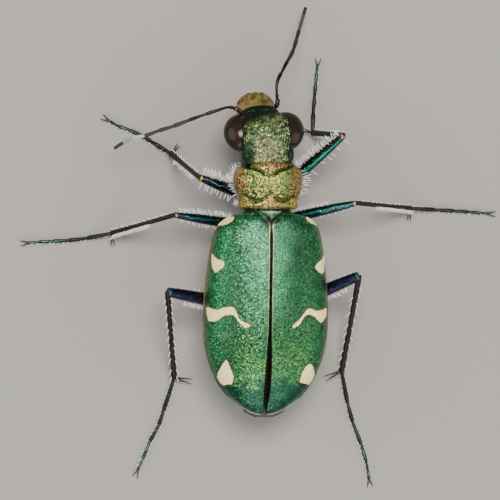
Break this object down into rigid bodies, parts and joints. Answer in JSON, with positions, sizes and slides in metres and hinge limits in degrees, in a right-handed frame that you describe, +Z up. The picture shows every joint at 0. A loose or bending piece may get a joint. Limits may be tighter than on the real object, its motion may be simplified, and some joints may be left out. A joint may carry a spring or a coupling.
{
  "type": "tiger beetle",
  "caption": "Life-size green tiger beetle, a still museum model standing on spread slender legs, with large eyes, forward feelers and cream-marked wing cases.",
  "frame": {"origin": "on the floor plane at the middle of the beetle's bounding box", "axes": "+Y towards the head, +X towards the beetle's right, +Z up"},
  "size_m": [0.0228, 0.0228, 0.005],
  "materials": {
    "elytra": "deep green metallic shell with a fine granular glitter of green, yellow and blue, cream markings and a thin coppery rim",
    "head": "finely granular metallic green speckled with gold and copper, darker green towards the clypeus",
    "prothorax": "granular metallic green and gold, with copper-red collars and yellow corners",
    "thorax": "dark metallic green underside with a coppery sheen",
    "abdomen": "smooth dark blue-green metallic plates",
    "eye": "glossy brown, finely faceted",
    "labrum": "amber with darker ribs",
    "mouthparts": "glossy dark brown",
    "antenna": "first joints dark and metallic, the others dull grey-brown",
    "coxa": "dark coppery green with white hairs",
    "femur": "dark metallic blue-green with green glints and white bristles",
    "tibia": "dark purple-brown with a metallic sheen",
    "tarsus": "dark with a green sheen"
  },
  "bodies": {
    "root": {"head": "head", "eye_left": "eye", "eye_right": "eye", "labrum": "labrum", "mandible_left": "mouthparts", "mandible_right": "mouthparts", "maxilla_left": "mouthparts", "maxilla_right": "mouthparts", "labium": "mouthparts", "antenna_left": "antenna", "antenna_right": "antenna", "prothorax": "prothorax", "thorax": "thorax", "abdomen": "abdomen", "elytron_left": "elytra", "elytron_right": "elytra", "coxa_front_left": "coxa", "femur_front_left": "femur", "tibia_front_left": "tibia", "tarsus_front_left": "tarsus", "coxa_front_right": "coxa", "femur_front_right": "femur", "tibia_front_right": "tibia", "tarsus_front_right": "tarsus", "coxa_mid_left": "coxa", "femur_mid_left": "femur", "tibia_mid_left": "tibia", "tarsus_mid_left": "tarsus", "coxa_mid_right": "coxa", "femur_mid_right": "femur", "tibia_mid_right": "tibia", "tarsus_mid_right": "tarsus", "coxa_hind_left": "coxa", "femur_hind_left": "femur", "tibia_hind_left": "tibia", "tarsus_hind_left": "tarsus", "coxa_hind_right": "coxa", "femur_hind_right": "femur", "tibia_hind_right": "tibia", "tarsus_hind_right": "tarsus"}
  },
  "joints": []
}
